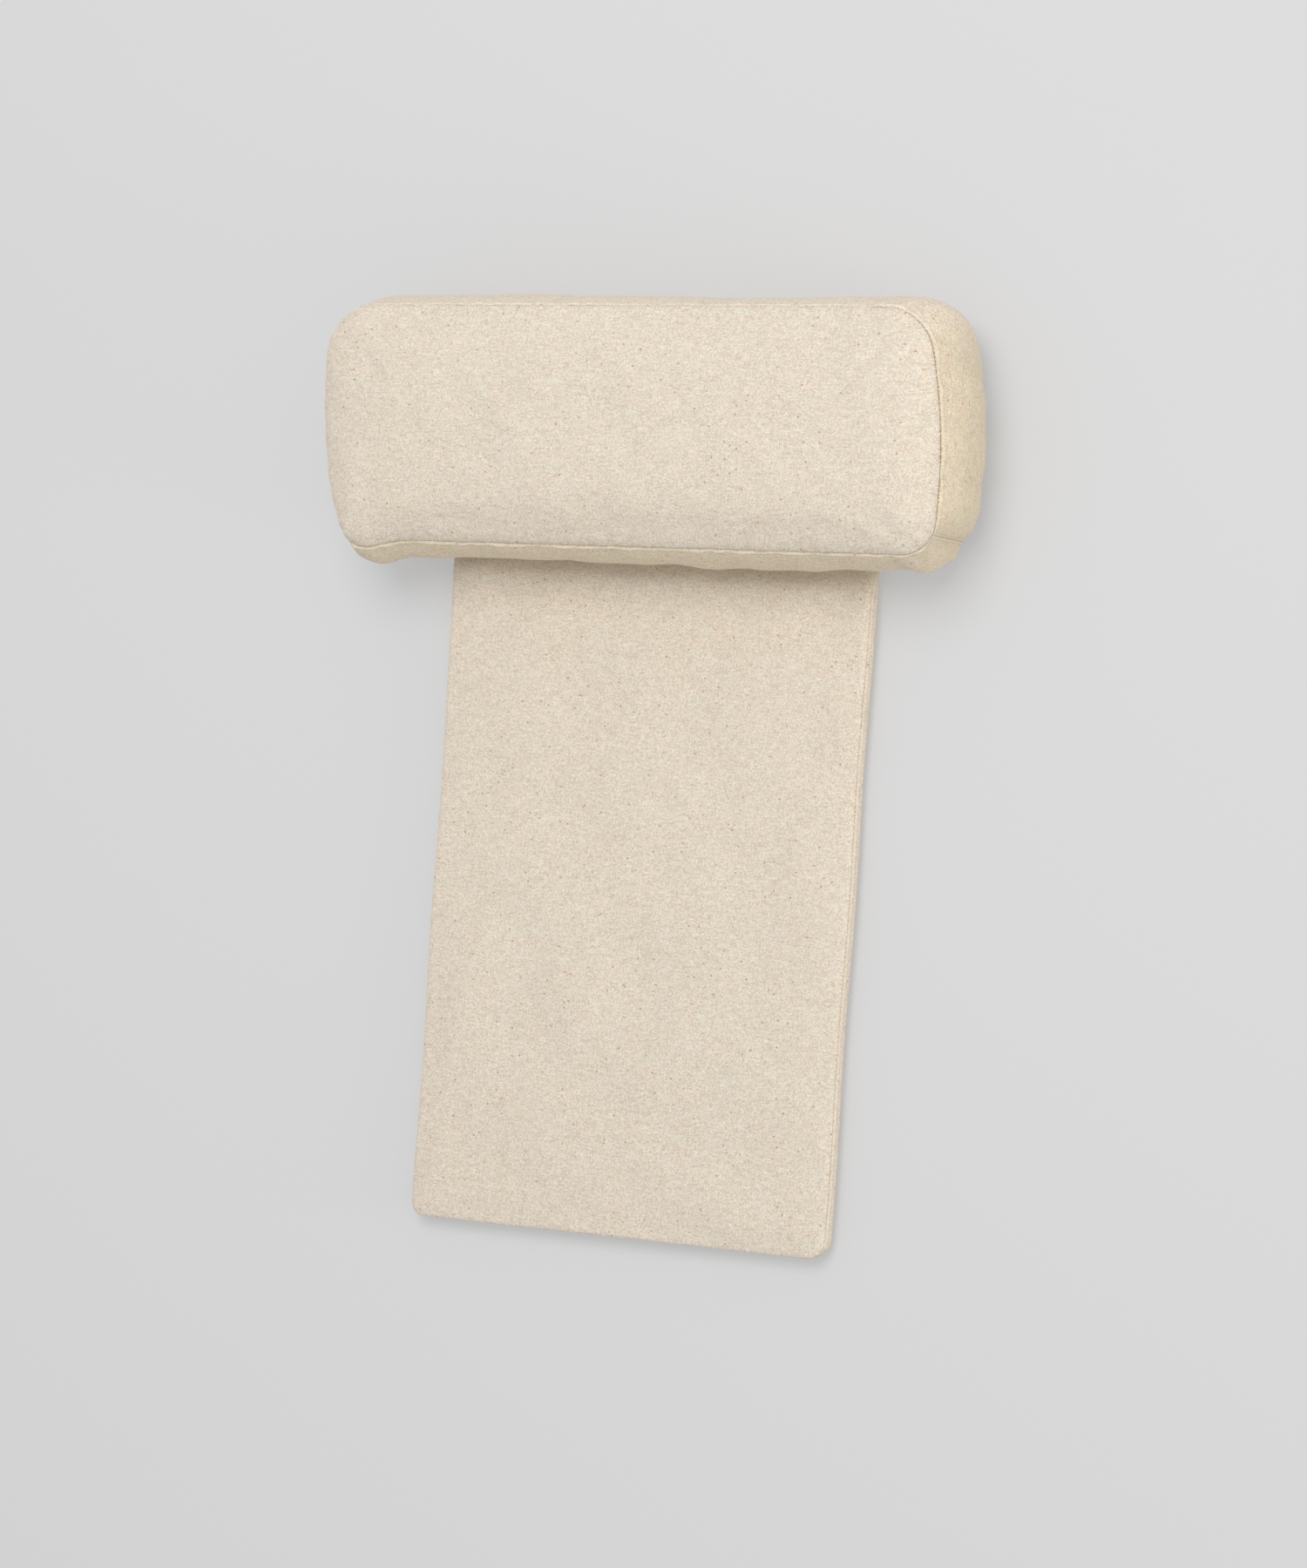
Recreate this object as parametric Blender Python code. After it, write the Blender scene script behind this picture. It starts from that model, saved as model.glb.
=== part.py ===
"""Headrest pillow with a padded flap, lying on its back.

The pillow is a boxed cushion: a front panel, a boxing strip all round and a back panel, filled tight. The flap is a
flat padded tongue sewn into the back seam of the pillow's lower edge. X runs across the width, Y from the flap's free
end to the pillow's top edge, and Z up out of the front panel. The origin is at the middle of the resting plane.
"""

import math

import bmesh
import bpy
from mathutils import Vector

# Pillow, measured from seam to seam, in metres.
PILLOW_WIDTH = 0.500
PILLOW_HEIGHT = 0.180
PILLOW_TOP_CORNER_RADIUS = 0.032
PILLOW_LOW_CORNER_RADIUS = 0.026
PILLOW_SIDE_BOW = 0.004
PILLOW_BACK_SEAM = 0.011
PILLOW_FRONT_SEAM_LOW = 0.097
PILLOW_FRONT_SEAM_HIGH = 0.103
PILLOW_BULGE_ENDS = 0.010
PILLOW_BULGE_TOP = 0.008
PILLOW_BULGE_BOTTOM = 0.013
PILLOW_FLAT_SHARE = 0.72

# The front panel rises steeply off its seam, turns over and then crowns gently.
PILLOW_EDGE_RISE = 0.018
PILLOW_EDGE_REACH = 0.030
PILLOW_CROWN = 0.008
PILLOW_CROWN_SHARPNESS = 2.2

# Flap, a thinner boxed pad.
FLAP_WIDTH = 0.352
FLAP_LENGTH = 0.532
FLAP_END_CORNER_RADIUS = 0.012
FLAP_JOIN_CORNER_RADIUS = 0.004
FLAP_BACK_SEAM = 0.004
FLAP_FRONT_SEAM = 0.0165
FLAP_EDGE_RISE = 0.0035
FLAP_EDGE_REACH = 0.008
FLAP_CROWN = 0.0015
FLAP_CROWN_SHARPNESS = 4.0
FLAP_BULGE = 0.002
FLAP_FLAT_SHARE = 0.95

# The flap thins down to its seam allowance where it meets the pillow's back seam.
JOIN_GAP = 0.00035
JOIN_TAPER = 0.030
JOIN_LOW = 0.0080
JOIN_HIGH = 0.0110

# Lattice lines close to the seams, as distances from them, and the number of even steps between them.
PILLOW_EDGE_LINES = (0.002, 0.006, 0.012, 0.020, 0.030)
PILLOW_STEPS = (20, 6)
PILLOW_DEPTH_STEPS = 10
FLAP_EDGE_LINES = (0.0015, 0.004, 0.008, 0.018)
FLAP_STEPS = (8, 16)
FLAP_DEPTH_STEPS = 4

TOTAL_LENGTH = FLAP_BULGE + FLAP_LENGTH + JOIN_GAP + PILLOW_HEIGHT + PILLOW_BULGE_TOP
FLAP_CENTRE_Y = FLAP_BULGE + FLAP_LENGTH / 2 - TOTAL_LENGTH / 2
PILLOW_CENTRE_Y = TOTAL_LENGTH / 2 - PILLOW_BULGE_TOP - PILLOW_HEIGHT / 2

LINEN_FRONT = (0.74, 0.66, 0.54, 1.0)
LINEN_FLAP = (0.73, 0.65, 0.53, 1.0)
LINEN_ROUGHNESS = 0.92


def linen(name, colour):
    """A matt woven cloth."""
    material = bpy.data.materials.new(name)
    material.use_nodes = True
    shader = material.node_tree.nodes["Principled BSDF"]
    shader.inputs["Base Color"].default_value = colour
    shader.inputs["Roughness"].default_value = LINEN_ROUGHNESS
    shader.inputs["Metallic"].default_value = 0.0
    return material


def lattice_cuts(length, edge_lines, steps):
    """Positions of the inner cuts: the edge lines at both ends, and even steps between them."""
    half = length / 2 - edge_lines[-1]
    middle = [half * (2 * k / steps - 1) for k in range(steps + 1)]
    low = [distance - length / 2 for distance in edge_lines[:-1]]
    high = [length / 2 - distance for distance in edge_lines[:-1]]
    return low + middle + high


def sliced_box(width, height, edge_lines, steps, depth_steps):
    """A box of this width and height, 2 deep, sliced by planes into a lattice of quads."""
    box = bmesh.new()
    bmesh.ops.create_cube(box, size=1.0)
    bmesh.ops.scale(box, vec=Vector((width, height, 2.0)), verts=box.verts[:])
    cuts = (
        lattice_cuts(width, edge_lines, steps[0]),
        lattice_cuts(height, edge_lines, steps[1]),
        [2 * k / depth_steps - 1 for k in range(1, depth_steps)],
    )
    for axis, values in enumerate(cuts):
        normal = Vector((0.0, 0.0, 0.0))
        normal[axis] = 1.0
        for value in values:
            geometry = box.verts[:] + box.edges[:] + box.faces[:]
            bmesh.ops.bisect_plane(
                box, geom=geometry, dist=1e-6, plane_co=normal * value, plane_no=normal
            )
    return box


def rounded_place(x, y, half_x, half_y, radius):
    """Carries a rectangle's point to a rounded rectangle, and returns it with its outward direction and its distance
    inside the rim. Lines at one distance from the rectangle's edge keep that distance."""
    across = abs(x) - (half_x - radius)
    along = abs(y) - (half_y - radius)
    inside = min(half_x - abs(x), half_y - abs(y))
    if across > 0 and along > 0:
        reach = math.hypot(across, along)
        outward = Vector((math.copysign(across / reach, x), math.copysign(along / reach, y)))
        centre = Vector((math.copysign(half_x - radius, x), math.copysign(half_y - radius, y)))
        return centre + outward * max(across, along), outward, inside
    if half_x - abs(x) < half_y - abs(y):
        return Vector((x, y)), Vector((math.copysign(1.0, x), 0.0)), inside
    return Vector((x, y)), Vector((0.0, math.copysign(1.0, y))), inside


def smooth(value):
    """0 to 1 with level ends."""
    value = max(0.0, min(1.0, value))
    return value * value * (3 - 2 * value)


def quarter_round(value):
    """0 to 1 along a quarter of a circle, upright at 0 and level at 1."""
    value = max(0.0, min(1.0, value))
    return math.sqrt(1 - (1 - value) ** 2)


def crowned(u, v, sharpness):
    """Height of a filled panel, 0 at its edges and 1 in the middle."""
    return (1 - abs(u) ** sharpness) * (1 - abs(v) ** sharpness)


def lifted(u, v, flat_share):
    """0 where a back panel lies flat, rising to 1 at its seam."""
    return 2 * smooth((max(abs(u), abs(v)) - flat_share) / (2 * (1 - flat_share)))


def pillow_point(x, y, depth):
    """Carries a lattice point to the pillow: front panel, boxing or back panel."""
    radius = PILLOW_TOP_CORNER_RADIUS if y > 0 else PILLOW_LOW_CORNER_RADIUS
    plan, outward, inside = rounded_place(x, y, PILLOW_WIDTH / 2, PILLOW_HEIGHT / 2, radius)
    plan.x *= 1 - PILLOW_SIDE_BOW / (PILLOW_WIDTH / 2) * (plan.y / (PILLOW_HEIGHT / 2)) ** 2
    slope = (PILLOW_FRONT_SEAM_HIGH - PILLOW_FRONT_SEAM_LOW) / PILLOW_HEIGHT
    front_seam = PILLOW_FRONT_SEAM_LOW + slope * (plan.y + PILLOW_HEIGHT / 2)
    u = 2 * x / PILLOW_WIDTH
    v = 2 * y / PILLOW_HEIGHT
    if inside > 1e-6 and depth > 0:
        edge = PILLOW_EDGE_RISE * quarter_round(inside / PILLOW_EDGE_REACH)
        crown = PILLOW_CROWN * crowned(u, v, PILLOW_CROWN_SHARPNESS)
        return Vector((plan.x, plan.y, front_seam + edge + crown))
    if inside > 1e-6:
        return Vector((plan.x, plan.y, PILLOW_BACK_SEAM * lifted(u, v, PILLOW_FLAT_SHARE)))
    along = (depth + 1) / 2
    bulge_y = PILLOW_BULGE_TOP if outward.y > 0 else PILLOW_BULGE_BOTTOM
    bulge = PILLOW_BULGE_ENDS * outward.x**2 + bulge_y * outward.y**2
    plan = plan + outward * bulge * max(0.0, math.sin(math.pi * along)) ** 0.8
    return Vector((plan.x, plan.y, PILLOW_BACK_SEAM + (front_seam - PILLOW_BACK_SEAM) * along))


def flap_point(x, y, depth):
    """Carries a lattice point to the flap, and thins it towards the pillow's seam."""
    radius = FLAP_JOIN_CORNER_RADIUS if y > 0 else FLAP_END_CORNER_RADIUS
    plan, outward, inside = rounded_place(x, y, FLAP_WIDTH / 2, FLAP_LENGTH / 2, radius)
    u = 2 * x / FLAP_WIDTH
    v = 2 * y / FLAP_LENGTH
    if inside > 1e-6 and depth > 0:
        height = FLAP_FRONT_SEAM + FLAP_EDGE_RISE * quarter_round(inside / FLAP_EDGE_REACH)
        height += FLAP_CROWN * crowned(u, v, FLAP_CROWN_SHARPNESS)
    elif inside > 1e-6:
        height = FLAP_BACK_SEAM * lifted(u, v, FLAP_FLAT_SHARE)
    else:
        along = (depth + 1) / 2
        height = FLAP_BACK_SEAM + (FLAP_FRONT_SEAM - FLAP_BACK_SEAM) * along
        if outward.y < 0.5:
            plan = plan + outward * FLAP_BULGE * math.sin(math.pi * along)
    full = smooth((FLAP_LENGTH / 2 - plan.y) / JOIN_TAPER)
    thickness = FLAP_FRONT_SEAM + FLAP_EDGE_RISE + FLAP_CROWN
    thin = JOIN_LOW + (JOIN_HIGH - JOIN_LOW) * height / thickness
    return Vector((plan.x, plan.y, thin + (height - thin) * full))


def pad(name, box, place, centre_y, material):
    """One filled, closed pad, made by carrying each corner of a sliced box to its place."""
    for vertex in box.verts:
        vertex.co = place(*vertex.co)
    bmesh.ops.recalc_face_normals(box, faces=box.faces[:])
    mesh = bpy.data.meshes.new(name)
    box.to_mesh(mesh)
    box.free()
    mesh.materials.append(material)
    mesh.shade_smooth()
    mesh.set_sharp_from_angle(angle=math.radians(50))
    piece = bpy.data.objects.new(name, mesh)
    piece.location = (0.0, centre_y, 0.0)
    bpy.context.scene.collection.objects.link(piece)
    return piece


for existing in list(bpy.data.objects):
    bpy.data.objects.remove(existing, do_unlink=True)

pillow_box = sliced_box(
    PILLOW_WIDTH, PILLOW_HEIGHT, PILLOW_EDGE_LINES, PILLOW_STEPS, PILLOW_DEPTH_STEPS
)
flap_box = sliced_box(FLAP_WIDTH, FLAP_LENGTH, FLAP_EDGE_LINES, FLAP_STEPS, FLAP_DEPTH_STEPS)
pad("pillow", pillow_box, pillow_point, PILLOW_CENTRE_Y, linen("pillow_linen", LINEN_FRONT))
pad("flap", flap_box, flap_point, FLAP_CENTRE_Y, linen("flap_linen", LINEN_FLAP))
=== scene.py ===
import math
import bpy
import numpy as np
from mathutils import Matrix, Vector


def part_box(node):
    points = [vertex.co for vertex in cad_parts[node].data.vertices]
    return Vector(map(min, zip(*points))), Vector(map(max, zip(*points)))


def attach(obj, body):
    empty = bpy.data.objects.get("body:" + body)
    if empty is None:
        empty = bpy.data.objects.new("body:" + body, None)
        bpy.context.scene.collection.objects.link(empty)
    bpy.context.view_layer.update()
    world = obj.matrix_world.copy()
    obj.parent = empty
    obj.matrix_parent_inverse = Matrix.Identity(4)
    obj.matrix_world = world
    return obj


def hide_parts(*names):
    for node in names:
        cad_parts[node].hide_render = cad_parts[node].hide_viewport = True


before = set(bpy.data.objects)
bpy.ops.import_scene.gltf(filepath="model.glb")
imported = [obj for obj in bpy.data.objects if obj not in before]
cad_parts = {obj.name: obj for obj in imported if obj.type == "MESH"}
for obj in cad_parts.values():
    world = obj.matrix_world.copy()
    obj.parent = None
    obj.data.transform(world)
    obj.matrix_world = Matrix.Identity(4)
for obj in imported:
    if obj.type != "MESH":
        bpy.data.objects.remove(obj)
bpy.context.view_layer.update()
print("frame loaded")


# shader nodes from expressions: a Wire is one socket, and sums, products and so on add Math nodes
class Wire:
    def __init__(self, tree, socket):
        self.tree = tree
        self.socket = socket

    def math(self, operation, *others, clamp=False):
        return self.tree.node(
            "ShaderNodeMath", {"operation": operation, "use_clamp": clamp}, [self, *others]
        ).out()

    def __add__(self, other):
        return self.math("ADD", other)

    def __radd__(self, other):
        return self.math("ADD", other)

    def __sub__(self, other):
        return self.math("SUBTRACT", other)

    def __rsub__(self, other):
        return self.tree.node("ShaderNodeMath", {"operation": "SUBTRACT"}, [other, self]).out()

    def __mul__(self, other):
        return self.math("MULTIPLY", other)

    def __rmul__(self, other):
        return self.math("MULTIPLY", other)

    def __truediv__(self, other):
        return self.math("DIVIDE", other)

    def floor(self):
        return self.math("FLOOR")

    def fraction(self):
        return self.math("FRACT")

    def clamped(self):
        return self.math("ADD", 0.0, clamp=True)

    def between(self, low, high):
        # 0 below low, 1 above high, with soft ends
        return self.tree.node(
            "ShaderNodeMapRange",
            {"interpolation_type": "SMOOTHSTEP"},
            {"Value": self, "From Min": low, "From Max": high},
        ).out()


class Tree:
    def __init__(self, material):
        material.use_nodes = True
        self.nodes = material.node_tree.nodes
        self.links = material.node_tree.links
        self.shader = self.nodes["Principled BSDF"]
        self.current = None

    def node(self, kind, settings, inputs):
        self.current = self.nodes.new(kind)
        for name, value in settings.items():
            setattr(self.current, name, value)
        named = inputs.items() if isinstance(inputs, dict) else enumerate(inputs)
        for key, value in named:
            self.feed(self.current.inputs[key], value)
        return self

    def feed(self, socket, value):
        if isinstance(value, Wire):
            self.links.new(value.socket, socket)
        else:
            socket.default_value = value

    def out(self, key=0):
        return Wire(self, self.current.outputs[key])

    def vector(self, x, y, z=0.0):
        return self.node("ShaderNodeCombineXYZ", {}, [x, y, z]).out()

    def mixed(self, factor, first, second, blend="MIX"):
        inputs = {"Factor": factor, 6: first, 7: second}  # 6 and 7 are the two colours, and 2 the mixed one
        return self.node("ShaderNodeMix", {"data_type": "RGBA", "blend_type": blend}, inputs).out(2)

    def noise(self, x, y, z, detail=2.0, roughness=0.5):
        inputs = {"Vector": self.vector(x, y, z), "Scale": 1.0, "Detail": detail, "Roughness": roughness}
        return self.node("ShaderNodeTexNoise", {"noise_dimensions": "3D"}, inputs).out(0)

    def white(self, x, y, z):
        inputs = {"Vector": self.vector(x, y, z)}
        return self.node("ShaderNodeTexWhiteNoise", {"noise_dimensions": "3D"}, inputs).out("Value")

    def uvParts(self, name):
        # the two parts of a UV map
        place = self.node("ShaderNodeUVMap", {"uv_map": name}, {}).out()
        self.node("ShaderNodeSeparateXYZ", {}, [place])
        return self.out(0), self.out(1)


# lengths are in millimetres, and a spread is where something starts to show and where it shows in full
linenLook = {
    "pitch": 0.84,  # from one thread to the next
    "light": (0.930, 0.850, 0.725, 1.0),
    "dark": (0.558, 0.462, 0.352, 1.0),
    "gold": (0.860, 0.690, 0.460, 1.0),
    "ash": (0.720, 0.690, 0.620, 1.0),
    "tan": (0.640, 0.420, 0.240, 1.0),
    "fleck": (0.320, 0.200, 0.110, 1.0),
    "rose": (0.830, 0.640, 0.520, 1.0),
    "sage": (0.740, 0.760, 0.600, 1.0),
    "stitch": (0.330, 0.225, 0.135, 1.0),
    # painted highlight: the cream of the seam ridge where it catches the light
    "ridge": (0.930, 0.860, 0.730, 1.0),
    # painted shade and light on the boxing: its sides and lower side are multiplied by the darker, yellower
    # first tint, and its upper side by the lighter second one
    "sideShadeTint": (0.990, 0.960, 0.870, 1.0),
    "topLightTint": (1.060, 1.045, 1.030, 1.0),
    "slubLength": 7.0,
    "slubSize": (9.0, 8.0, 1.15),  # a weft slub's length, a warp slub's length, and how thick both are
    "speckSize": (1.6, 1.3),
    "threadContrast": 0.58,
    "crossingContrast": 0.59,
    "weftSlubs": 0.62,
    "warpSlubs": 0.28,
    "cloudContrast": 0.08,
    "hueSpread": (0.50, 0.72),
    "tint": 0.27,
    "patchSpread": (0.52, 0.70),
    "patches": 0.16,
    "tanSpecks": ((0.972, 1.000), 0.55),  # the rarest crossings, and how strongly they show
    "darkSpecks": ((0.9955, 0.9985), 0.48),
    "flecks": ((0.72, 0.80), (0.73, 0.81), 0.7),  # in the weft, in the warp, and how strongly they show
    "streaks": ((0.64, 0.76), (0.66, 0.78), 0.46),
    "stitchRate": 0.60,
    "line": (0.22, 0.74),  # how strong the stitches are, everywhere and in the dashes
    "lineShares": (0.75, 0.25, -0.20),  # how much of them shows: everywhere, more at the right, less below
    "ridgeHighlightShares": (0.10, 0.22),  # painted highlight on the seam ridge: everywhere, and more below
    "foldShadow": 0.16,
    "bump": 0.00020,
    "roughness": 0.92,
    "specular": 0.22,
    "sheen": (0.12, 0.5),  # weight and roughness
}

# the flap's boxing gets a paler painted shade
flapLook = {**linenLook, "sideShadeTint": (1.0, 1.0, 0.985, 1.0), "line": (0.04, 0.34)}


def linenMaterial(name, look, seed):
    # each crossing of the weave shows its warp or its weft thread in turn, and each thread has its own
    # tone, which drifts along its length: that gives the short upright and level slubs of real linen
    material = bpy.data.materials.new(name)
    tree = Tree(material)
    shader = tree.shader
    across, along = tree.uvParts("cloth")
    across, along = across * 1000.0, along * 1000.0
    drift = tree.noise(across * 0.03, along * 0.03, seed)
    across, along = across + drift * 3.0, along + drift * 2.2
    warpCount, weftCount = (across / look["pitch"]).floor(), (along / look["pitch"]).floor()
    turn = ((warpCount + weftCount) * 0.5).fraction() * 2.0
    warpTone = tree.noise(warpCount * 7.31, along / look["slubLength"], seed + 3.0, 3.0, 0.6)
    weftTone = tree.noise(across / look["slubLength"], weftCount * 7.31, seed + 9.0, 3.0, 0.6)
    thread = warpTone * (1.0 - turn) + weftTone * turn
    grain = tree.white(warpCount, weftCount, seed)
    cloud = tree.noise(across * 0.02, along * 0.02, seed + 5.0, 3.0)
    weftLength, warpLength, thickness = look["slubSize"]
    weftSlub = tree.noise(across / weftLength, (along / thickness).floor() * 7.7, seed + 13.0)
    warpSlub = tree.noise((across / thickness).floor() * 7.7, along / warpLength, seed + 17.0)
    shade = (thread - 0.5) * look["threadContrast"] + (grain - 0.5) * look["crossingContrast"]
    shade = shade + (weftSlub - 0.5) * look["weftSlubs"] + (warpSlub - 0.5) * look["warpSlubs"]
    tone = (shade + (cloud - 0.5) * look["cloudContrast"] + 0.5).clamped()
    colour = tree.mixed(tone, look["dark"], look["light"])

    # soft patches of hue, then single specks, flecks and streaks
    hue = tree.noise(across / 5.0, along / 2.2, seed + 31.0)
    colour = tree.mixed(hue.between(*look["hueSpread"]) * look["tint"], colour, look["gold"])
    colour = tree.mixed((1.0 - hue).between(*look["hueSpread"]) * look["tint"], colour, look["ash"])
    patch = tree.noise(across / 16.0, along / 9.0, seed + 51.0)
    colour = tree.mixed(patch.between(*look["patchSpread"]) * look["patches"], colour, look["rose"])
    colour = tree.mixed((1.0 - patch).between(*look["patchSpread"]) * look["patches"], colour, look["sage"])
    speckWidth, speckHeight = look["speckSize"]
    speck = tree.white((across / speckWidth).floor(), (along / speckHeight).floor(), seed + 35.0)
    for (spread, strength), tint in ((look["tanSpecks"], "tan"), (look["darkSpecks"], "fleck")):
        colour = tree.mixed(speck.between(*spread) * strength, colour, look[tint])
    weftSpread, warpSpread, strength = look["flecks"]
    weftFleck = tree.noise(across / 1.3, weftCount * 3.7, seed + 21.0, 1.0).between(*weftSpread)
    warpFleck = tree.noise(warpCount * 3.7, along / 1.3, seed + 27.0, 1.0).between(*warpSpread)
    fleck = weftFleck * turn + warpFleck * (1.0 - turn)
    colour = tree.mixed(fleck * strength, colour, look["fleck"])
    weftSpread, warpSpread, strength = look["streaks"]
    weftStreak = tree.noise(across / 5.0, weftCount * 5.3, seed + 43.0, 1.0).between(*weftSpread)
    warpStreak = tree.noise(warpCount * 5.3, along / 5.0, seed + 47.0, 1.0).between(*warpSpread)
    colour = tree.mixed(weftStreak * turn * strength, colour, look["tan"])
    colour = tree.mixed(warpStreak * (1.0 - turn) * strength, colour, look["tan"])

    # the seam map holds the run along the nearest seam and the distance from it, below zero on the boxing,
    # and the facing map the way that the nearest edge faces
    run, span = tree.uvParts("seam")
    run, span = run * 1000.0, span * 1000.0
    right, up = tree.uvParts("facing")
    low, high, right = (up * -1.0).clamped(), up.clamped(), right.clamped()
    everywhere, moreRight, moreLow = look["lineShares"]
    lineShare = right * moreRight + low * moreLow + everywhere
    everywhere, moreLow = look["ridgeHighlightShares"]
    ridgeShare = low * moreLow + everywhere
    # painted shade and light: the boxing is made darker and yellower where it faces sideways or down, and
    # lighter where it faces up
    boxing = 1.0 - span.between(-0.15, 0.0)
    tint = tree.mixed(high, look["sideShadeTint"], look["topLightTint"])
    colour = tree.mixed(boxing, colour, tint, "MULTIPLY")
    # painted highlight: a cream band along the ridge beside each seam, stronger on the lower side
    ridge = span.between(-2.3, -1.5) * (1.0 - span.between(-0.9, -0.4))
    colour = tree.mixed(ridge * ridgeShare, colour, look["ridge"])
    under = span.between(-3.4, -3.0) * (1.0 - span.between(-2.6, -2.2))
    colour = tree.mixed(under * look["foldShadow"], colour, look["stitch"])
    dash = tree.noise(run * look["stitchRate"], 0.0, seed).between(0.42, 0.56)
    line = span.between(-0.55, -0.10) * (1.0 - span.between(0.75, 1.25)) * lineShare
    faint, dashed = look["line"]
    colour = tree.mixed(line * (faint + dashed * dash), colour, look["stitch"])
    tree.feed(shader.inputs["Base Color"], colour)

    # relief: each thread is round across its own width and dips where the other crosses it
    warpTurn = (across / look["pitch"]).fraction() - 0.5
    weftTurn = (along / look["pitch"]).fraction() - 0.5
    warpRound = 1.0 - warpTurn * warpTurn * 4.0
    weftRound = 1.0 - weftTurn * weftTurn * 4.0
    warpHeight = warpRound * (0.6 + 0.4 * weftRound)
    weftHeight = weftRound * (0.6 + 0.4 * warpRound)
    height = warpHeight * (1.0 - turn) + weftHeight * turn + thread * 1.4 + grain * 0.5
    inputs = {"Height": height, "Distance": look["bump"], "Strength": 1.0}
    tree.feed(shader.inputs["Normal"], tree.node("ShaderNodeBump", {}, inputs).out())
    shader.inputs["Roughness"].default_value = look["roughness"]
    shader.inputs["Specular IOR Level"].default_value = look["specular"]
    weight, roughness = look["sheen"]
    shader.inputs["Sheen Weight"].default_value = weight
    shader.inputs["Sheen Roughness"].default_value = roughness
    return material


def edgeTurn(share):
    # a quarter circle's height at a share of its reach, starting just past upright, so that it leaves
    # its seam at 75 degrees
    start = 0.013
    base = math.sqrt(1 - (1 - start) ** 2)
    place = start + (1 - start) * np.clip(share, 0, 1)
    return (np.sqrt(1 - (1 - place) ** 2) - base) / (1 - base)


def edgeArc(shape):
    # distances inside the seam in plan, and how far each is over the turned edge's surface
    inside = np.linspace(0, 0.5 * min(shape["width"], shape["height"]), 8000)
    height = shape["edgeRise"] * edgeTurn(inside / shape["edgeReach"])
    return inside, np.concatenate([[0], np.cumsum(np.hypot(np.diff(inside), np.diff(height)))])


def panelLines(shape, length, extra=()):
    # a panel's grid lines: close together over the turned edge, step apart between, and any extra ones
    inside, arc = edgeArc(shape)
    close = np.interp(overTheEdge, arc, inside)
    return np.unique(np.concatenate([edgeLines(length, close, shape["step"]), extra]))


def edgeLines(length, close, step):
    # positions from -length/2 to length/2: at the close distances near both ends, and about step apart
    # between them
    close = np.array(close)
    half = length / 2 - close[-1]
    middle = np.linspace(-half, half, max(2, round(2 * half / step)) + 1)
    return np.concatenate([close[:-1] - length / 2, middle, length / 2 - close[-2::-1]])


def ripples(x, y, size, seed):
    # unit-strength unevenness: a sum of sixteen plane waves of about the given wavelength
    rng = np.random.default_rng(seed)
    turn = rng.uniform(0, 2 * np.pi, 16)
    rate = rng.uniform(0.55, 1.5, 16) / size * 2 * np.pi
    phase = rng.uniform(0, 2 * np.pi, 16)
    total = np.zeros(np.shape(x))
    for angle, speed, start in zip(turn, rate, phase):
        total = total + np.cos(speed * (x * np.cos(angle) + y * np.sin(angle)) + start)
    return total / np.sqrt(8)


def creases(x, y, rows):
    # each row is a soft trough, depth x exp(-(across / width)^2) x exp(-(along / length)^2), with a low
    # shoulder beside it
    total = np.zeros(np.shape(x))
    for centreX, centreY, angle, length, width, depth in rows:
        cos, sin = math.cos(math.radians(angle)), math.sin(math.radians(angle))
        run = (x - centreX) * cos + (y - centreY) * sin
        side = (y - centreY) * cos - (x - centreX) * sin
        fade = np.exp(-((run / length) ** 2))
        total -= depth * fade * np.exp(-((side / width) ** 2))
        total += 0.45 * depth * fade * np.exp(-(((side - 1.6 * width) / width) ** 2))
    return total


def smooth(value):
    value = np.clip(value, 0, 1)
    return value * value * (3 - 2 * value)


def bump(distance, centre, width):
    return np.exp(-(((distance - centre) / width) ** 2))


def roundedPlan(x, y, halfX, halfY, radius):
    # carries a rectangle's points to a rounded rectangle, and keeps each one's distance from the edge: in a
    # corner square, (a, b) from the corner's centre goes to max(a, b) in its own direction
    a = np.abs(x) - (halfX - radius)
    b = np.abs(y) - (halfY - radius)
    corner = (a > 0) & (b > 0)
    reach = np.maximum(np.hypot(a, b), 1e-9)
    far = np.maximum(a, b)
    signX, signY = np.where(x < 0, -1.0, 1.0), np.where(y < 0, -1.0, 1.0)
    planX = np.where(corner, signX * (halfX - radius + far * a / reach), x)
    planY = np.where(corner, signY * (halfY - radius + far * b / reach), y)
    nearSide = halfX - np.abs(x) < halfY - np.abs(y)
    outX = np.where(corner, signX * a / reach, np.where(nearSide, signX, 0.0))
    outY = np.where(corner, signY * b / reach, np.where(nearSide, 0.0, signY))
    inside = np.minimum(halfX - np.abs(x), halfY - np.abs(y))
    return planX, planY, outX, outY, inside


def seamPlace(x, y, halfX, halfY, radius):
    # how far round the flat rectangle's edge each point's nearest seam point is, from the low left corner
    a = np.abs(x) - (halfX - radius)
    b = np.abs(y) - (halfY - radius)
    corner = (a > 0) & (b > 0)
    far = np.maximum(np.maximum(a, b), 1e-9)
    signX, signY = np.where(x < 0, -1.0, 1.0), np.where(y < 0, -1.0, 1.0)
    edgeX = np.where(corner, signX * (halfX - radius + radius * a / far), x)
    edgeY = np.where(corner, signY * (halfY - radius + radius * b / far), y)
    nearSide = halfX - np.abs(edgeX) < halfY - np.abs(edgeY)
    level = np.where(signY < 0, edgeX + halfX, 3 * halfX + 2 * halfY - edgeX)
    upright = np.where(signX > 0, 2 * halfX + halfY + edgeY, 4 * halfX + 3 * halfY - edgeY)
    return np.where(nearSide, upright, level)


def ringOf(grid):
    # the edge of a grid as one closed ring, anticlockwise from the low corner, its first point repeated
    return np.concatenate([grid[:, 0], grid[-1, 1:], grid[-2::-1, -1], grid[0, -2::-1]])


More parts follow.
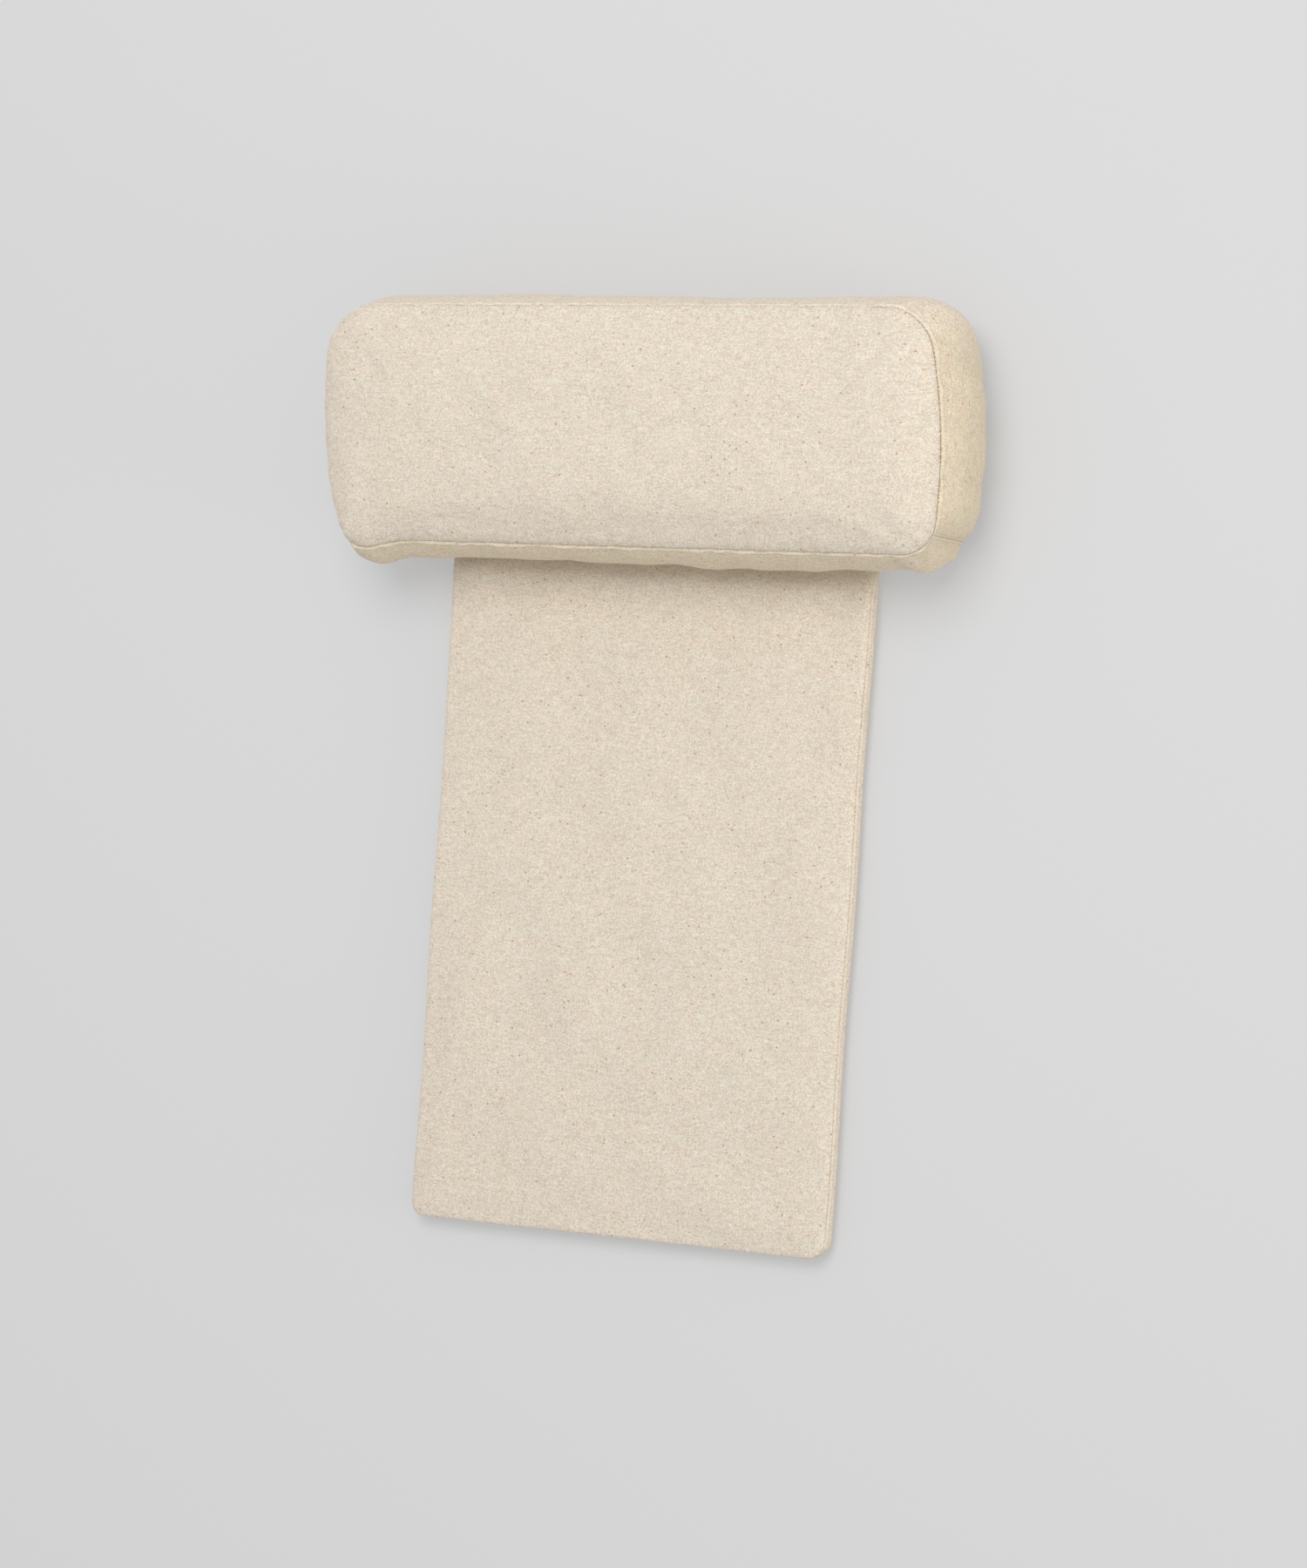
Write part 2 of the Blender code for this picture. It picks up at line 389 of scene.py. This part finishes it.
def padIndex(panel, side):
    # point numbers of a pad's front, back and side grids: the side's first and last rows are the rings
    # of the two panels
    count = panel.shape[0] * panel.shape[1]
    front = np.arange(count).reshape(panel.shape[:2])
    back = front + count
    rows, columns = side.shape[0] - 2, side.shape[1] - 1
    middle = 2 * count + np.arange(rows * columns).reshape(rows, columns)
    middle = np.concatenate([middle, middle[:, :1]], axis=1)
    return front, back, np.concatenate([ringOf(back)[None], middle, ringOf(front)[None]])


def faceCorners(front, back, side):
    # the four corners of every face of the three grids, in the order that turns the faces outward
    def corners(grid, order):
        four = [grid[:-1, :-1], grid[1:, :-1], grid[1:, 1:], grid[:-1, 1:]]
        return np.stack([four[place] for place in order], axis=2).reshape(-1, 4, *grid.shape[2:])

    grids = ((front, (0, 1, 2, 3)), (back, (3, 2, 1, 0)), (side, (0, 3, 2, 1)))
    return np.concatenate([corners(grid, order) for grid, order in grids])


def padMesh(name, sheets, maps, material):
    # sheets are the front, back and side grids of points; maps gives each UV map's own three grids
    front, back, side = sheets
    faces = faceCorners(*padIndex(front, side))
    points = [front.reshape(-1, 3), back.reshape(-1, 3), side[1:-1, :-1].reshape(-1, 3)]
    mesh = bpy.data.meshes.new(name)
    mesh.from_pydata(np.concatenate(points), [], faces)
    for mapName, grids in maps.items():
        mesh.uv_layers.new(name=mapName).data.foreach_set("uv", faceCorners(*grids).reshape(-1))
    mesh.shade_smooth()
    mesh.materials.append(material)
    piece = bpy.data.objects.new(name, mesh)
    bpy.context.scene.collection.objects.link(piece)
    print(name, "has", len(mesh.polygons), "faces")
    return piece


# what the cloth simulation is given: the filling's pressure, and the spare cloth that the seams gather
filling = {
    "pressure": 4.0,
    "frames": 20,
    "spare": -0.05,  # below zero, the cloth near the seams is given more length
    "spareReach": 0.022,
    "bending": 0.6,
    "most": 0.004,  # no point moves farther than this
}

thinFilling = {**filling, "pressure": 2.0, "spareReach": 0.018, "most": 0.0012}


def settled(sheets, inside, values):
    # blows up a coarse pad with its back and its seams held, and gives how far each point of its front
    # and of its side goes
    front, back, side = sheets
    frontIndex, backIndex, sideIndex = padIndex(front, side)
    piece = padMesh("settling", sheets, {}, None)
    start = np.empty(len(piece.data.vertices) * 3)
    piece.data.vertices.foreach_get("co", start)
    sewn = piece.vertex_groups.new(name="sewn")
    sewn.add(np.unique(np.concatenate([backIndex.ravel(), ringOf(frontIndex)])).tolist(), 1.0, "REPLACE")
    spare = piece.vertex_groups.new(name="spare")
    near = [np.exp(-grid / values["spareReach"]) for grid in inside]
    for share in np.linspace(0.1, 1.0, 10):
        chosen = [
            index[(grid > share - 0.1) & (grid <= share)]
            for index, grid in zip((frontIndex, sideIndex), near)
        ]
        spare.add(np.concatenate(chosen).tolist(), float(share), "REPLACE")
    cloth = piece.modifiers.new("cloth", "CLOTH")
    settings = cloth.settings
    settings.use_pressure = True
    settings.uniform_pressure_force = values["pressure"]
    settings.bending_stiffness = values["bending"]
    settings.vertex_group_mass = "sewn"
    settings.vertex_group_shrink = "spare"
    settings.shrink_min = 0.0
    settings.shrink_max = values["spare"]
    settings.effector_weights.gravity = 0.0
    cloth.collision_settings.use_collision = False
    cloth.point_cache.frame_end = values["frames"]
    for frameNumber in range(1, values["frames"] + 1):
        bpy.context.scene.frame_set(frameNumber)
    shaped = piece.evaluated_get(bpy.context.evaluated_depsgraph_get()).data
    end = np.empty(len(start))
    shaped.vertices.foreach_get("co", end)
    move = (end - start).reshape(-1, 3)
    reach = np.maximum(np.linalg.norm(move, axis=1, keepdims=True), 1e-9)
    print("cloth settled, its points moved up to", round(float(reach.max()) * 1000, 1), "mm")
    move *= values["most"] * np.tanh(reach / values["most"]) / reach
    bpy.data.objects.remove(piece)
    bpy.context.scene.frame_set(1)
    return move[frontIndex], move[sideIndex]


def carried(values, places, coarse, closed=False):
    # reads coarse rows at new places, each as a cubic B-spline of its four nearest rows
    at = np.interp(places, coarse, np.arange(len(coarse)))
    low = np.minimum(np.floor(at).astype(int), len(coarse) - 2)
    part = (at - low).reshape(-1, *[1] * (values.ndim - 1))
    shares = ((1 - part) ** 3, 3 * part**3 - 6 * part**2 + 4, 3 * (part + part**2 - part**3) + 1, part**3)
    total = 0
    for shift, share in enumerate(shares):
        row = low + shift - 1
        row = row % (len(coarse) - 1) if closed else np.clip(row, 0, len(coarse) - 1)
        total = total + share / 6 * values[row]
    return total


def ringPlaces(xs, ys):
    # how far round the flat rectangle's edge each point of a ring is
    width, height = xs[-1] - xs[0], ys[-1] - ys[0]
    parts = [xs - xs[0], width + ys[1:] - ys[0], width + height + xs[-1] - xs[-2::-1]]
    return np.concatenate([*parts, 2 * width + height + ys[-1] - ys[-2::-1]])


def swelling(sheets, shape, values, fine):
    # settles a coarse pad with cells of 5 to 6 mm, and reads its points' moves at the fine pad's own lines
    across, along, deep = shape["coarse"]
    coarse = (
        np.linspace(-0.5, 0.5, across) * shape["width"],
        np.linspace(-0.5, 0.5, along) * shape["height"],
        np.linspace(0, 1, deep),
    )
    pad, _, inside = sheets(shape, *coarse)
    frontMove, sideMove = settled(pad, inside, values)
    (coarseX, coarseY, coarseT), (xs, ys, ts) = coarse, fine
    frontMove = carried(carried(frontMove, xs, coarseX).swapaxes(0, 1), ys, coarseY).swapaxes(0, 1)
    sideMove = carried(sideMove, ts, coarseT).swapaxes(0, 1)
    sideMove = carried(sideMove, ringPlaces(xs, ys), ringPlaces(coarseX, coarseY), closed=True)
    return frontMove, sideMove.swapaxes(0, 1)


def eased(distance):
    # 0 at a seam and nearly 1 a centimetre from it
    return 1 - np.exp(-distance / 0.003)


# how far from a seam the grid lines run that are close together, and those over a panel's turned edge
closeToSeam = (0, 0.0004, 0.0008, 0.0013, 0.0020, 0.0029, 0.0041, 0.0057, 0.0078, 0.0105, 0.0140)
overTheEdge = (*closeToSeam, 0.0175, 0.021, 0.0245, 0.028)

pillowShape = {
    "width": 0.508,
    "height": 0.180,
    "topCorners": (0.038, 0.031),
    "lowCorners": (0.014, 0.024),
    "sideBow": 0.010,
    "leanBack": 0.029,  # how far the back and the front seams lean to one side
    "leanFront": 0.069,
    "turn": 0.028,  # how far the front seam is turned and sags against the back one
    "sag": 0.004,
    "lowDip": 0.006,  # how far the seam dips beside the lower left corner, and where
    "lowDipAt": -0.222,
    "topMargin": 0.008,  # from the solid's top to the seam
    "backSeam": 0.011,
    "frontSeamLow": 0.093,
    "frontSeamHigh": 0.107,
    "edgeRise": 0.018,
    "edgeReach": 0.030,
    "crown": 0.008,
    "bulgeEnds": 0.0138,
    "bulgeTop": (0.006, 0.009, 0.013),
    "bulgeBottom": (0.017, 0.014, 0.007),  # at the left end, in the middle and at the right end
    "bulgeCorners": (-0.003, 0.005),  # how much more the lower right and the top right corners swell
    "endsTaper": (0.65, 0.35),  # how much less the ends bulge at the bottom and the top than halfway up
    "flatShare": 0.72,
    "seamDip": 0.0006,
    "seamRidge": 0.0004,
    "lowRidge": 0.5,  # how much higher the ridge is below
    "pucker": 0.0004,
    "lump": 0.0006,
    "uneven": 0.0006,
    "notch": 0.0068,  # how far the boxing is drawn in at its joints, and how far it swells beside them
    "lobe": 0.0025,
    "tuck": 0.0040,  # how far the back corners are drawn in below the boxing's joints
    "jointReach": 0.014,
    "jointAngle": 22,  # how far round the corner's arc each joint is, from its upright side
    "pinch": 0.0040,
    "step": 0.0040,
    "coarse": (101, 37, 18),  # the simulation's own grid lines
    "calmCorner": (-0.225, 0.065, 0.035, 0.8),  # x, y, reach and share of the swelling that is left out
    # soft creases of the front panel: place, direction, half length, half width, depth
    "creases": [
        (-0.226, -0.070, 35, 0.020, 0.0045, 0.0016),
        (-0.237, -0.030, 80, 0.030, 0.0060, 0.0012),
        (0.228, 0.070, 40, 0.018, 0.0050, 0.0008),
        (0.218, -0.074, 140, 0.016, 0.0050, 0.0010),
    ],
    # troughs of the boxing's lower side, where the filling pushes it into soft folds: x, half width, depth
    "lowFolds": [
        (-0.185, 0.012, 0.0005),
        (-0.118, 0.020, 0.0006),
        (-0.060, 0.014, 0.0010),
        (0.028, 0.016, 0.0009),
        (0.085, 0.012, 0.0005),
        (0.160, 0.018, 0.0004),
    ],
}


def seamDrop(shape, distance):
    # stitches pull the cloth in: a narrow notch at the seam itself
    return shape["seamDip"] * (bump(distance, 0, 0.0008) + 0.4 * bump(distance, 0, 0.0030))


def cornerRadius(shape, x, y):
    (topLeft, topRight), (lowLeft, lowRight) = shape["topCorners"], shape["lowCorners"]
    return np.where(y > 0, np.where(x < 0, topLeft, topRight), np.where(x < 0, lowLeft, lowRight))


def jointDistance(shape, x, y):
    # how far a seam point is from the boxing's joint in its own lower corner, far off for the upper half
    radius = np.where(x < 0, *shape["lowCorners"])
    turn = math.radians(shape["jointAngle"])
    cornerX = shape["width"] / 2 - (1 - math.cos(turn)) * radius
    cornerY = (1 - math.sin(turn)) * radius - shape["height"] / 2
    cornerX = cornerX - shape["sideBow"] * (2 * cornerY / shape["height"]) ** 2
    return np.where(y < 0, np.hypot(np.abs(x) - cornerX, y - cornerY), 1.0)


def pillowSheets(shape, xs, ys, ts):
    halfX, halfY = shape["width"] / 2, shape["height"] / 2
    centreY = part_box("pillow")[1][1] - shape["topMargin"] - halfY
    flatX, flatY = np.meshgrid(xs, ys, indexing="ij")
    radius = cornerRadius(shape, flatX, flatY)
    x, y, outX, outY, inside = roundedPlan(flatX, flatY, halfX, halfY, radius)
    x = x * (1 - shape["sideBow"] / halfX * (y / halfY) ** 2)
    seamX, seamY = x + outX * inside, y + outY * inside
    span = np.interp(inside, *edgeArc(shape))
    tight = np.exp(-span / 0.014) * (1 - np.exp(-span / 0.0020))
    puckers = ripples(seamX, seamY, 0.019, 4) + 0.7 * ripples(seamX, seamY, 0.011, 5)
    pull = shape["pucker"] * tight * puckers
    drop = seamDrop(shape, span) / np.sqrt(2)

    def frontSeamAt(atX, atY):
        # a sloping height, drawn down at the two lower corners, where three seams meet
        slope = (shape["frontSeamHigh"] - shape["frontSeamLow"]) * (atY / shape["height"] + 0.5)
        high = shape["frontSeamLow"] + slope
        return high - shape["pinch"] * bump(np.hypot(halfX - np.abs(atX), halfY + atY), 0.006, 0.014)

    def leaning(atX, atY, atT):
        # the filling carries the front seam sideways, turns it and lets it sag against the back one
        lean = shape["leanBack"] + (shape["leanFront"] - shape["leanBack"]) * atT
        dip = shape["lowDip"] * bump(atX, shape["lowDipAt"], 0.020) * np.exp(-(halfY + atY) / 0.025)
        return atX - lean * atY, atY + (shape["turn"] * atX - shape["sag"] - dip) * atT + centreY

    # front panel: seam height + edge rise x quarter circle of the distance inside the seam
    # + crown x (1 - |u|^2.2)(1 - |v|^2.2) + lumps, puckers and creases
    u, v = np.abs(flatX / halfX), np.abs(flatY / halfY)
    turned = edgeTurn(inside / shape["edgeReach"])
    dome = (1 - u**2.2) * (1 - v**2.2)
    waves = ripples(x, y, 0.085, 1) + 0.5 * ripples(x, y, 0.040, 2)
    lumps = shape["lump"] * smooth(inside / 0.03) * waves
    folds = creases(x, y, shape["creases"]) * smooth(inside / 0.012)
    z = frontSeamAt(x, y) + shape["edgeRise"] * turned + shape["crown"] * dome
    z = z + lumps + folds + pull - drop
    frontX, frontY = leaning(x, y, 1.0)
    front = np.stack([frontX - outX * (drop - pull), frontY - outY * (drop - pull), z], axis=-1)

    # back panel: flat on the surface out to flatShare, then rising to its seam
    share = np.maximum(u, v)
    lift = smooth((share - shape["flatShare"]) / (2 * (1 - shape["flatShare"]))) * 2
    z = np.maximum(shape["backSeam"] * lift + drop * lift, 0)
    dent = np.clip(1 - jointDistance(shape, seamX, seamY) / shape["jointReach"], 0, 1) ** 1.2
    drawn = drop + shape["tuck"] * dent * (1 - smooth(inside / 0.06))
    backX, backY = leaning(x, y, 0.0)
    back = np.stack([backX - outX * drawn, backY - outY * drawn, z], axis=-1)

    # boxing: the seam's ring carried from the back seam to the front one, bulging outward by
    # sin(pi t)^0.8, with a sewn joint across it in both lower corners
    ringX, ringY, ringOutX, ringOutY = (ringOf(grid) for grid in (x, y, outX, outY))
    girth = np.concatenate([[0], np.cumsum(np.hypot(np.diff(ringX), np.diff(ringY)))])
    depth = shape["frontSeamLow"] - shape["backSeam"]
    t, ring = np.meshgrid(ts, np.arange(len(ringX)), indexing="ij")
    endsBulge = shape["bulgeEnds"] * (1 - np.where(ringY < 0, *shape["endsTaper"]) * (ringY / halfY) ** 2)

    def levelBulge(left, middle, right):
        return np.interp(ringX, (-0.24, -0.10, 0.10, 0.24), (left, middle, middle, right))

    level = np.where(ringOutY > 0, levelBulge(*shape["bulgeTop"]), levelBulge(*shape["bulgeBottom"]))
    bulge = endsBulge * ringOutX**2 + level * ringOutY**2
    corner = 2 * ringOutX.clip(0) * ringOutY
    bulge = bulge + np.where(corner < 0, *shape["bulgeCorners"]) * corner**2
    fromSeam = np.minimum(t, 1 - t) * depth
    drop = seamDrop(shape, fromSeam) / np.sqrt(2)
    ridgeShare = 1 + shape["lowRidge"] * np.clip(-ringOutY, 0, 1)
    ridge = shape["seamRidge"] * bump(fromSeam, 0.0020, 0.0011) * ridgeShare[ring]
    tight = np.exp(-fromSeam / 0.014) * (1 - np.exp(-fromSeam / 0.0016))
    puckers = (ripples(ringX, ringY, 0.021, 14) + 0.7 * ripples(ringX, ringY, 0.012, 15))[ring]
    swell = np.sin(np.pi * t).clip(0)
    calm = np.where(ringOutY > 0.5, 0.4, 1)
    uneven = ripples(girth[ring], t * depth, 0.060, 17) * shape["uneven"] * swell * calm[ring]
    for foldX, foldWidth, foldDepth in shape["lowFolds"]:
        waviness = foldX + 0.006 * np.sin(5 * t + foldX * 90)
        uneven -= foldDepth * swell * bump(ringX[ring], waviness, foldWidth) * (ringOutY < -0.5)[ring]
    jointAway = jointDistance(shape, ringX, ringY)[ring]
    dent = np.clip(1 - jointAway / shape["jointReach"], 0, 1) ** 1.2
    lobes = shape["lobe"] * bump(jointAway, 0.024, 0.009)
    notch = (shape["notch"] * dent - lobes) * swell**0.6 + shape["tuck"] * dent * (1 - t)
    out = bulge * swell**0.8 + ridge - drop + shape["pucker"] * 1.3 * tight * puckers + uneven - notch
    low, high = shape["backSeam"], frontSeamAt(ringX, ringY)[ring]
    z = low + (high - low) * t + np.where(t < 0.5, drop, -drop)
    sideX, sideY = leaning(ringX[ring], ringY[ring], t)
    side = np.stack([sideX + ringOutX[ring] * out, sideY + ringOutY[ring] * out, z], axis=-1)

    run = np.interp(seamPlace(flatX, flatY, halfX, halfY, radius), ringPlaces(xs, ys), girth)
    atJoint = jointAway < fromSeam
    sideRun = np.where(atJoint, t * depth, girth[ring])
    sideSpan = -np.where(atJoint, jointAway, fromSeam)
    panel = np.stack([x, y], axis=-1)
    cloth = (panel, panel + (2.0, 0.0), np.stack([girth[ring] + 0.7, t * depth + 0.5], axis=-1))
    seam = (
        np.stack([run, span], axis=-1),
        np.stack([run, inside], axis=-1),
        np.stack([sideRun, sideSpan], axis=-1),
    )
    facing = np.stack([outX, outY], axis=-1)
    facing = (facing, facing, ringOf(facing)[ring])
    return (front, back, side), {"cloth": cloth, "seam": seam, "facing": facing}, (inside, fromSeam)


def pillowPiece(shape, values, material):
    depth = shape["frontSeamLow"] - shape["backSeam"]
    lowEdge = (1 - math.tan(math.radians(shape["jointAngle"]))) * np.array(shape["lowCorners"])
    joints = np.add.outer(lowEdge, (-0.0018, -0.0010, -0.0005, 0, 0.0005, 0.0010, 0.0018)).ravel()
    xs = panelLines(shape, shape["width"])
    ys = panelLines(shape, shape["height"], joints - shape["height"] / 2)
    ts = edgeLines(depth, closeToSeam, shape["step"]) / depth + 0.5
    sheets, maps, (inside, fromSeam) = pillowSheets(shape, xs, ys, ts)
    front, back, side = sheets
    frontMove, sideMove = swelling(pillowSheets, shape, values, (xs, ys, ts))
    cornerX, cornerY, reach, share = shape["calmCorner"]
    calm = 1 - share * bump(np.hypot(xs[:, None] - cornerX, ys[None] - cornerY), 0, reach)
    front = front + frontMove * (calm * eased(inside))[..., None]
    side = side + sideMove * eased(fromSeam)[..., None]
    return padMesh("pillowCover", (front, back, side), maps, material)


flapShape = {
    "width": 0.352,
    "height": 0.532,
    "topCorners": (0.004, 0.004),
    "lowCorners": (0.011, 0.014),
    "flare": 0.0030,  # how far the left edge turns out beside the pillow
    "wander": 0.0006,  # how far the upright edges wave
    "slant": 0.0070,  # how much longer the flap is at its left side
    "backSeam": 0.004,
    "frontSeam": 0.0165,
    "edgeRise": 0.0035,
    "edgeReach": 0.008,
    "crown": 0.0015,
    "bulge": 0.002,
    "lowTuck": 1.6,  # how much of the bulge the lower edge goes without
    "flatShare": 0.95,
    "joinTaper": 0.030,
    "joinLow": 0.008,
    "joinHigh": 0.011,
    "seamDip": 0.0005,
    "lump": 0.0006,
    "step": 0.0045,
    "coarse": (60, 90, 4),
}


def flapSheets(shape, xs, ys, ts):
    halfX, halfY = shape["width"] / 2, shape["height"] / 2
    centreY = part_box("flap")[0][1] + shape["bulge"] + halfY
    flatX, flatY = np.meshgrid(xs, ys, indexing="ij")
    radius = cornerRadius(shape, flatX, flatY)
    x, y, outX, outY, inside = roundedPlan(flatX, flatY, halfX, halfY, radius)
    edge = np.abs(x / halfX) ** 6
    x = x + shape["wander"] * edge * np.sin(y / 0.034 + np.sign(x) + 0.4)
    x = x - np.where(x < 0, shape["flare"] * edge, 0) * np.exp(-(((halfY - y) / 0.045) ** 2))
    y = y - shape["slant"] * (0.5 - x / shape["width"]) * smooth((halfY - y) / shape["height"])
    fullDepth = shape["frontSeam"] + shape["edgeRise"] + shape["crown"]

    def thinned(atY, height):
        # towards the join the pad thins down to its seam allowance
        full = smooth((halfY - atY) / shape["joinTaper"])
        thin = shape["joinLow"] + (shape["joinHigh"] - shape["joinLow"]) * height / fullDepth
        return thin + (height - thin) * full

    # front cloth: seam height + edge rise x quarter circle of the distance inside the seam
    # + crown x (1 - u^4)(1 - v^4) + lumps. At the join nothing is drawn in
    u, v = np.abs(flatX / halfX), np.abs(flatY / halfY)
    turned = edgeTurn(inside / shape["edgeReach"])
    dome = (1 - u**4) * (1 - v**4)
    sewn = np.where(outY > 0.5, 0, 1)
    span = np.interp(inside, *edgeArc(shape))
    drop = seamDrop(shape, span) / np.sqrt(2) * sewn
    waves = ripples(x, y, 0.12, 31) + 0.5 * ripples(x, y, 0.05, 32)
    lumps = shape["lump"] * smooth(inside / 0.02) * waves
    z = shape["frontSeam"] + shape["edgeRise"] * turned + shape["crown"] * dome + lumps - drop
    z = thinned(y, z)
    front = np.stack([x - outX * drop, y - outY * drop + centreY, z], axis=-1)

    share = np.maximum(u, v)
    lift = smooth((share - shape["flatShare"]) / (2 * (1 - shape["flatShare"]))) * 2
    z = thinned(y, shape["backSeam"] * lift)
    back = np.stack([x - outX * drop, y - outY * drop + centreY, z], axis=-1)

    ringX, ringY, ringOutX, ringOutY = (ringOf(grid) for grid in (x, y, outX, outY))
    girth = np.concatenate([[0], np.cumsum(np.hypot(np.diff(ringX), np.diff(ringY)))])
    depth = shape["frontSeam"] - shape["backSeam"]
    t, ring = np.meshgrid(ts, np.arange(len(ringX)), indexing="ij")
    fromSeam = np.minimum(t, 1 - t) * depth
    sewn = np.where(ringOutY > 0.5, 0, 1)[ring]
    drop = seamDrop(shape, fromSeam) / np.sqrt(2) * sewn
    share = sewn - shape["lowTuck"] * np.clip(-ringOutY, 0, 1)[ring]
    out = shape["bulge"] * share * np.sin(np.pi * t) - drop
    z = thinned(ringY[ring], shape["backSeam"] + depth * t + np.where(t < 0.5, 0, -drop))
    sideX = ringX[ring] + ringOutX[ring] * out
    sideY = ringY[ring] + ringOutY[ring] * out + centreY
    side = np.stack([sideX, sideY, z], axis=-1)

    run = np.interp(seamPlace(flatX, flatY, halfX, halfY, radius), ringPlaces(xs, ys), girth)
    panel = np.stack([x, y + 1.5], axis=-1)
    cloth = (panel, panel + (2.0, 0.0), np.stack([girth[ring] + 0.7, t * depth + 3.5], axis=-1))
    seam = (
        np.stack([run, span], axis=-1),
        np.stack([run, inside], axis=-1),
        np.stack([girth[ring], -fromSeam], axis=-1),
    )
    facing = np.stack([outX, outY], axis=-1)
    facing = (facing, facing, ringOf(facing)[ring])
    return (front, back, side), {"cloth": cloth, "seam": seam, "facing": facing}, (inside, fromSeam)


def flapPiece(shape, values, material):
    depth = shape["frontSeam"] - shape["backSeam"]
    xs, ys = panelLines(shape, shape["width"]), panelLines(shape, shape["height"])
    ts = edgeLines(depth, (0, 0.0004, 0.0008, 0.0013, 0.0020, 0.0030), 0.0016) / depth + 0.5
    sheets, maps, (inside, fromSeam) = flapSheets(shape, xs, ys, ts)
    front, back, side = sheets
    frontMove, sideMove = swelling(flapSheets, shape, values, (xs, ys, ts))
    joinY = front[:, :, 1].max() - shape["joinTaper"]  # the moves fade out before the join
    front = front + frontMove * (eased(inside) * smooth((joinY - front[:, :, 1]) / 0.02))[..., None]
    side = side + sideMove * (eased(fromSeam) * smooth((joinY - side[:, :, 1]) / 0.02))[..., None]
    return padMesh("flapCover", (front, back, side), maps, material)


pillowLinen = linenMaterial("pillowLinen", linenLook, 0.0)
flapLinen = linenMaterial("flapLinen", flapLook, 40.0)
pillowCover = pillowPiece(pillowShape, filling, pillowLinen)
flapCover = flapPiece(flapShape, thinFilling, flapLinen)
for piece, node in ((pillowCover, "pillow"), (flapCover, "flap")):
    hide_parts(node)
    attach(piece, "root")
print("pillow and flap made")


studio = {
    "floorReach": 9.0,
    "floorColour": (0.36, 0.36, 0.36, 1.0),
    "floorGlow": 0.285,  # lifts the shadows, as a lit backdrop does
    "skyColour": (0.96, 0.97, 1.0, 1.0),
    "skyStrength": 0.72,
    # name, place, aim, size, power, colour
    "lights": [
        ("keyLight", (0.35, 1.30, 2.9), (0, 0.1, 0), 1.8, 48.2, (1.0, 0.99, 0.98)),
        ("sideLight", (2.3, -0.3, 0.5), (0, 0.2, 0.05), 0.9, 11.6, (1.0, 0.96, 0.88)),
    ],
}


def floorPiece(values):
    mesh = bpy.data.meshes.new("studioFloor")
    reach = values["floorReach"]
    corners = [(-reach, -reach, 0), (reach, -reach, 0), (reach, reach, 0), (-reach, reach, 0)]
    mesh.from_pydata(corners, [], [(0, 1, 2, 3)])
    material = bpy.data.materials.new("studioFloor")
    tree = Tree(material)
    tree.shader.inputs["Base Color"].default_value = values["floorColour"]
    tree.shader.inputs["Roughness"].default_value = 0.85
    tree.shader.inputs["Specular IOR Level"].default_value = 0.15
    tree.shader.inputs["Emission Color"].default_value = (1.0, 1.0, 1.0, 1.0)
    tree.shader.inputs["Emission Strength"].default_value = values["floorGlow"]
    mesh.materials.append(material)
    floor = bpy.data.objects.new("studioFloor", mesh)
    bpy.context.scene.collection.objects.link(floor)
    return floor


def areaLight(name, place, target, size, power, colour):
    light = bpy.data.lights.new(name, "AREA")
    light.shape = "DISK"
    light.size = size
    light.energy = power
    light.color = colour
    lamp = bpy.data.objects.new(name, light)
    lamp.location = place
    lamp.rotation_euler = (Vector(target) - Vector(place)).to_track_quat("-Z", "Y").to_euler()
    bpy.context.scene.collection.objects.link(lamp)
    return lamp


floorPiece(studio)
world = bpy.data.worlds.new("studioSky")
world.use_nodes = True
world.node_tree.nodes["Background"].inputs["Color"].default_value = studio["skyColour"]
world.node_tree.nodes["Background"].inputs["Strength"].default_value = studio["skyStrength"]
bpy.context.scene.world = world
for light in studio["lights"]:
    areaLight(*light)
bpy.context.scene.view_settings.view_transform = "Standard"
print("studio lit")


# the camera stands over the lying piece, at the photograph's angle to the front cloth
view = {
    "yaw": 24.3,  # degrees to the right of straight above
    "pitch": 2.0,  # degrees towards the top edge
    "roll": 4.0,
    "distance": 3.3,
    "focalPixels": 4892.0,
    "frameHeight": 1800.0,
    "target": (0.0, -0.0106, 0.0),
}


def photoCamera(values):
    yaw, pitch, roll = (math.radians(values[key]) for key in ("yaw", "pitch", "roll"))
    target = Vector(values["target"])
    away = Vector((math.sin(yaw) * math.cos(pitch), math.sin(pitch), math.cos(yaw) * math.cos(pitch)))
    right = (-away).cross(Vector((0, 1, 0))).normalized()
    up = right.cross(-away)
    turnedRight = right * math.cos(roll) + up * math.sin(roll)
    turnedUp = up * math.cos(roll) - right * math.sin(roll)
    lens = bpy.data.cameras.new("photoCamera")
    lens.sensor_width = 36.0
    lens.lens = values["focalPixels"] / values["frameHeight"] * lens.sensor_width
    camera = bpy.data.objects.new("photoCamera", lens)
    turn = Matrix((turnedRight, turnedUp, away)).transposed().to_4x4()
    camera.matrix_world = Matrix.Translation(target + away * values["distance"]) @ turn
    bpy.context.scene.collection.objects.link(camera)
    bpy.context.scene.camera = camera


photoCamera(view)
print("camera placed")
